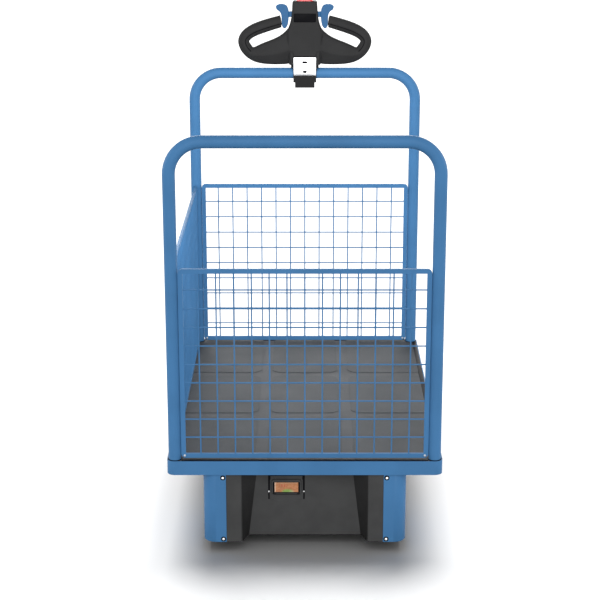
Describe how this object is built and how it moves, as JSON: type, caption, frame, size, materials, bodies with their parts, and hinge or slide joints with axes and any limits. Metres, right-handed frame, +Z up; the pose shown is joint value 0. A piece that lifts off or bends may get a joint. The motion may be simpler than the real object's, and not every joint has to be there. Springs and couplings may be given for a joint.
{
  "type": "electric platform cart",
  "caption": "Electric platform cart with tube hoops and mesh panels round a flat deck, a covered driven axle, swivel castors and a control head on the handle hoop.",
  "frame": {"origin": "on the floor, under the middle of the deck's length and width", "axes": "+Z up, +Y from the drive cover end to the handle end, +X towards the open loading side"},
  "size_m": [0.7, 1, 1.313],
  "materials": {
    "blue_paint": "satin powder coat",
    "lever_blue": "smooth moulded plastic",
    "deck_surface": "matt, finely textured",
    "black_paint": "satin paint",
    "cover_plastic": "matt moulded plastic",
    "head_plastic": "matt moulded plastic",
    "dark_trim": "smooth",
    "indicator_face": "smooth",
    "bright_steel": "brushed",
    "zinc_steel": "zinc plated",
    "button_red": "smooth",
    "battery_case": "matt",
    "wheel_hub": "cast, satin",
    "tyre": "matt rubber"
  },
  "bodies": {
    "chassis": {"deck_frame": "blue_paint", "deck_board": "deck_surface", "chassis_beams": "black_paint", "near_hoop": "blue_paint", "handle_hoop": "blue_paint", "near_mesh_panel": "blue_paint", "handle_mesh_panel": "blue_paint", "side_mesh_panel": "blue_paint", "drive_cover": "cover_plastic", "right_guard_plate": "blue_paint", "left_guard_plate": "blue_paint", "indicator_bezel": "dark_trim", "indicator_display": "indicator_face", "axle_housing": "black_paint", "drive_motor": "black_paint", "drive_brackets": "black_paint", "stub_axles": "bright_steel", "battery_box": "black_paint", "battery_block": "battery_case", "castor_mounts": "zinc_steel", "head_body": "head_plastic", "left_hand_loop": "head_plastic", "right_hand_loop": "head_plastic", "thumb_levers": "lever_blue", "belly_button": "button_red", "head_window": "dark_trim", "bar_clamp": "head_plastic", "clamp_strap": "bright_steel"},
    "left_drive_wheel": {"left_drive_hub": "wheel_hub", "left_drive_tyre": "tyre"},
    "left_castor": {"left_castor_fork": "zinc_steel", "left_castor_axle": "bright_steel"},
    "left_castor_wheel": {"left_castor_hub": "wheel_hub", "left_castor_tyre": "tyre"},
    "right_drive_wheel": {"right_drive_hub": "wheel_hub", "right_drive_tyre": "tyre"},
    "right_castor": {"right_castor_fork": "zinc_steel", "right_castor_axle": "bright_steel"},
    "right_castor_wheel": {"right_castor_hub": "wheel_hub", "right_castor_tyre": "tyre"}
  },
  "joints": [
    {"name": "left_drive_roll", "type": "hinge", "parent": "chassis", "child": "left_drive_wheel", "pos_m": [-0.21, -0.35125, 0.1], "axis": [1, 0, 0], "continuous": true},
    {"name": "left_castor_swivel", "type": "hinge", "parent": "chassis", "child": "left_castor", "pos_m": [-0.2, 0.34, 0.17], "axis": [0, 0, 1], "continuous": true},
    {"name": "left_castor_roll", "type": "hinge", "parent": "left_castor", "child": "left_castor_wheel", "pos_m": [-0.2, 0.39, 0.08], "axis": [1, 0, 0], "continuous": true},
    {"name": "right_drive_roll", "type": "hinge", "parent": "chassis", "child": "right_drive_wheel", "pos_m": [0.21, -0.35125, 0.1], "axis": [1, 0, 0], "continuous": true},
    {"name": "right_castor_swivel", "type": "hinge", "parent": "chassis", "child": "right_castor", "pos_m": [0.2, 0.34, 0.17], "axis": [0, 0, 1], "continuous": true},
    {"name": "right_castor_roll", "type": "hinge", "parent": "right_castor", "child": "right_castor_wheel", "pos_m": [0.2, 0.39, 0.08], "axis": [1, 0, 0], "continuous": true}
  ]
}
